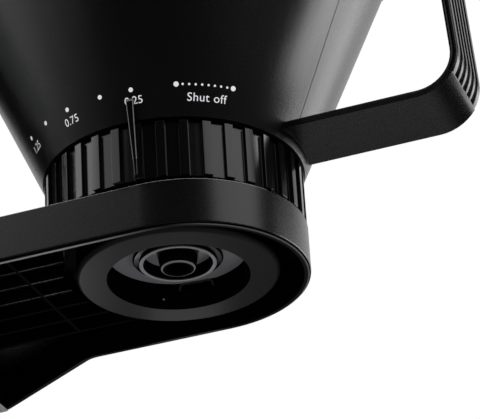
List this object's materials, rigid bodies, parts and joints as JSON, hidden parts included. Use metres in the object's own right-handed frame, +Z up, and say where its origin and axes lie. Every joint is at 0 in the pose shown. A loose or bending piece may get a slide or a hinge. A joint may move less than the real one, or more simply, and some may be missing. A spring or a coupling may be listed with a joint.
{
  "type": "drip coffee maker",
  "caption": "Drip coffee maker: a cone filter holder with a strap handle and a turnable flow ring sits in an arm above a warming plate, with a water tank and spout behind.",
  "frame": {"origin": "middle of the object's box, on the table under the feet", "axes": "+Z up, +X from the column towards the filter handle, +Y to the machine's left seen along +X"},
  "size_m": [0.326, 0.176, 0.4156],
  "materials": {
    "black_satin": "satin moulded plastic with a fine spark texture",
    "black_gloss": "glossy moulded plastic",
    "ring_black": "semi-gloss moulded plastic",
    "grip_black": "soft-touch matte",
    "seat_grey": "matte moulded plastic",
    "dark_plastic": "matte moulded plastic",
    "cream_plastic": "plain moulded plastic",
    "tank_clear": "smoke-tinted clear plastic",
    "lamp_lens": "amber lens",
    "satin_metal": "satin",
    "aluminium": "extruded",
    "steel": "zinc plated or brushed",
    "plate_coating": "non-stick coating",
    "rubber": "matte rubber",
    "silicone": "matte silicone"
  },
  "bodies": {
    "machine": {"base_shell": "black_satin", "base_plate": "dark_plastic", "rubber_feet": "rubber", "base_screws": "steel", "cord_gland": "rubber", "warming_plate": "plate_coating", "plate_gasket": "silicone", "water_tube": "aluminium", "heating_rod": "steel", "heater_clamp": "steel", "clamp_bolt": "steel", "thermostat": "cream_plastic", "switch_body": "dark_plastic", "button_bezel": "satin_metal", "pilot_lamp": "lamp_lens", "column_shell": "black_satin", "rear_cover": "black_satin", "cover_screws": "steel", "arm_deck": "black_satin", "deck_underplate": "satin_metal", "underplate_screws": "steel", "seat_ring": "seat_grey", "seat_screws": "steel", "water_tank": "tank_clear", "tank_strainer": "steel", "tank_fitting": "dark_plastic", "inlet_hose": "silicone", "check_valve": "cream_plastic", "riser_hose": "silicone", "riser_housing": "black_satin", "spout_housing": "black_satin", "spout_cover": "black_satin", "spray_head": "dark_plastic", "lid_pin": "steel"},
    "filter_holder": {"filter_cone": "black_satin", "handle_strap": "black_satin", "grip_pad": "grip_black", "outlet_cup": "black_gloss", "drip_nozzle": "black_gloss", "shutter_seal": "silicone"},
    "flow_control": {"flow_ring": "ring_black", "flow_pointer": "ring_black", "shutter_disc": "cream_plastic"},
    "lid": {"tank_lid": "black_satin"},
    "button": {"power_button": "black_gloss"}
  },
  "joints": [
    {"name": "filter_lift", "type": "slide", "parent": "machine", "child": "filter_holder", "axis": [0, 0, 1], "range_m": [0, 0.02]},
    {"name": "flow_turn", "type": "hinge", "parent": "filter_holder", "child": "flow_control", "pos_m": [0.0591, 0, 0.243], "axis": [0, 0, 1], "range_deg": [-57, 40]},
    {"name": "lid_open", "type": "hinge", "parent": "machine", "child": "lid", "pos_m": [-0.154, 0, 0.4116], "axis": [0, -1, 0], "range_deg": [0, 100]},
    {"name": "button_press", "type": "slide", "parent": "machine", "child": "button", "axis": [0, 0, -1], "range_m": [0, 0.0025], "stiffness_N_per_m": 400, "springref_m": -0.002}
  ]
}
